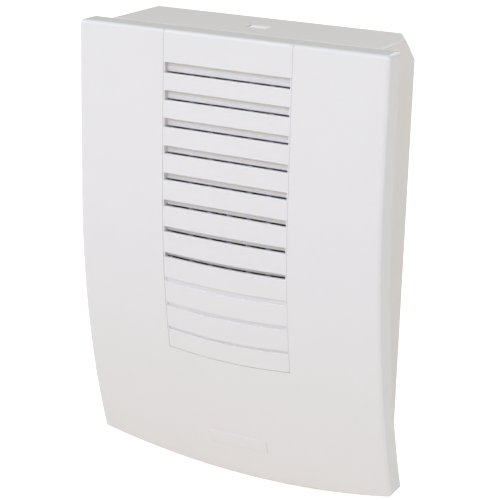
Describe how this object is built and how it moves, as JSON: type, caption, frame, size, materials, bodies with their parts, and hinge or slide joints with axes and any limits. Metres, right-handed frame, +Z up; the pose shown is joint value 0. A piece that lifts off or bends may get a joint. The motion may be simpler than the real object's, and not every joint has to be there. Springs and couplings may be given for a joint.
{
  "type": "doorbell chime box",
  "caption": "Wall-mounted door chime: a clip-on white cover with a louvred panel over a tray, where a solenoid throws a sprung plunger between tone bars.",
  "frame": {"origin": "on the wall, behind the middle of the tray, midway between the two wall screws", "axes": "+X to the viewer's right, +Y into the wall, +Z up"},
  "size_m": [0.1132, 0.038, 0.159],
  "materials": {
    "tray_plastic": "moulded white, fine satin texture",
    "cover_plastic": "moulded white, fine satin texture",
    "panel_plastic": "moulded white, fine satin texture",
    "bar_steel": "drawn, bright",
    "soft_rubber": "moulded",
    "cap_nylon": "moulded",
    "zinc_steel": "zinc plated",
    "screw_steel": "zinc plated",
    "bobbin_plastic": "moulded",
    "copper_wire": "enamelled wire",
    "coil_tape": "wound film tape",
    "core_steel": "turned",
    "striker_nylon": "turned nylon",
    "spring_steel": "bright wire",
    "terminal_plastic": "moulded",
    "clamp_brass": "machined",
    "lead_red": "insulated wire",
    "lead_black": "insulated wire"
  },
  "bodies": {
    "base": {"base_housing": "tray_plastic", "tone_bar_left": "bar_steel", "tone_bar_right": "bar_steel", "bar_grommets": "soft_rubber", "bar_caps": "cap_nylon", "solenoid_yoke": "zinc_steel", "yoke_screws": "screw_steel", "coil_bobbin": "bobbin_plastic", "coil_winding": "copper_wire", "coil_tape": "coil_tape", "return_spring": "spring_steel", "terminal_block": "terminal_plastic", "terminal_clamps": "clamp_brass", "terminal_screws": "clamp_brass", "terminal_fixing": "screw_steel", "coil_lead_left": "lead_red", "coil_lead_right": "lead_black", "cable_clamp": "cap_nylon", "cable_clamp_screws": "screw_steel", "cable_grommet": "soft_rubber"},
    "cover": {"front_cover": "cover_plastic", "grille_panel": "panel_plastic"},
    "latch": {"latch_tongue": "panel_plastic"},
    "plunger": {"plunger_core": "core_steel", "striker_left": "striker_nylon", "striker_right": "striker_nylon", "spring_clip": "spring_steel"}
  },
  "joints": [
    {"name": "cover_pull", "type": "slide", "parent": "base", "child": "cover", "axis": [0, -1, 0], "range_m": [0, 0.06], "deforming": ["latch_tongue"]},
    {"name": "latch_press", "type": "hinge", "parent": "cover", "child": "latch", "pos_m": [0, -0.0322, 0.06555], "axis": [-1, 0, 0], "range_deg": [0, 8], "stiffness_Nm_per_rad": 0.2},
    {"name": "plunger_strike", "type": "slide", "parent": "base", "child": "plunger", "axis": [1, 0, 0], "range_m": [-0.003, 0.008], "stiffness_N_per_m": 60, "deforming": ["return_spring"]}
  ]
}
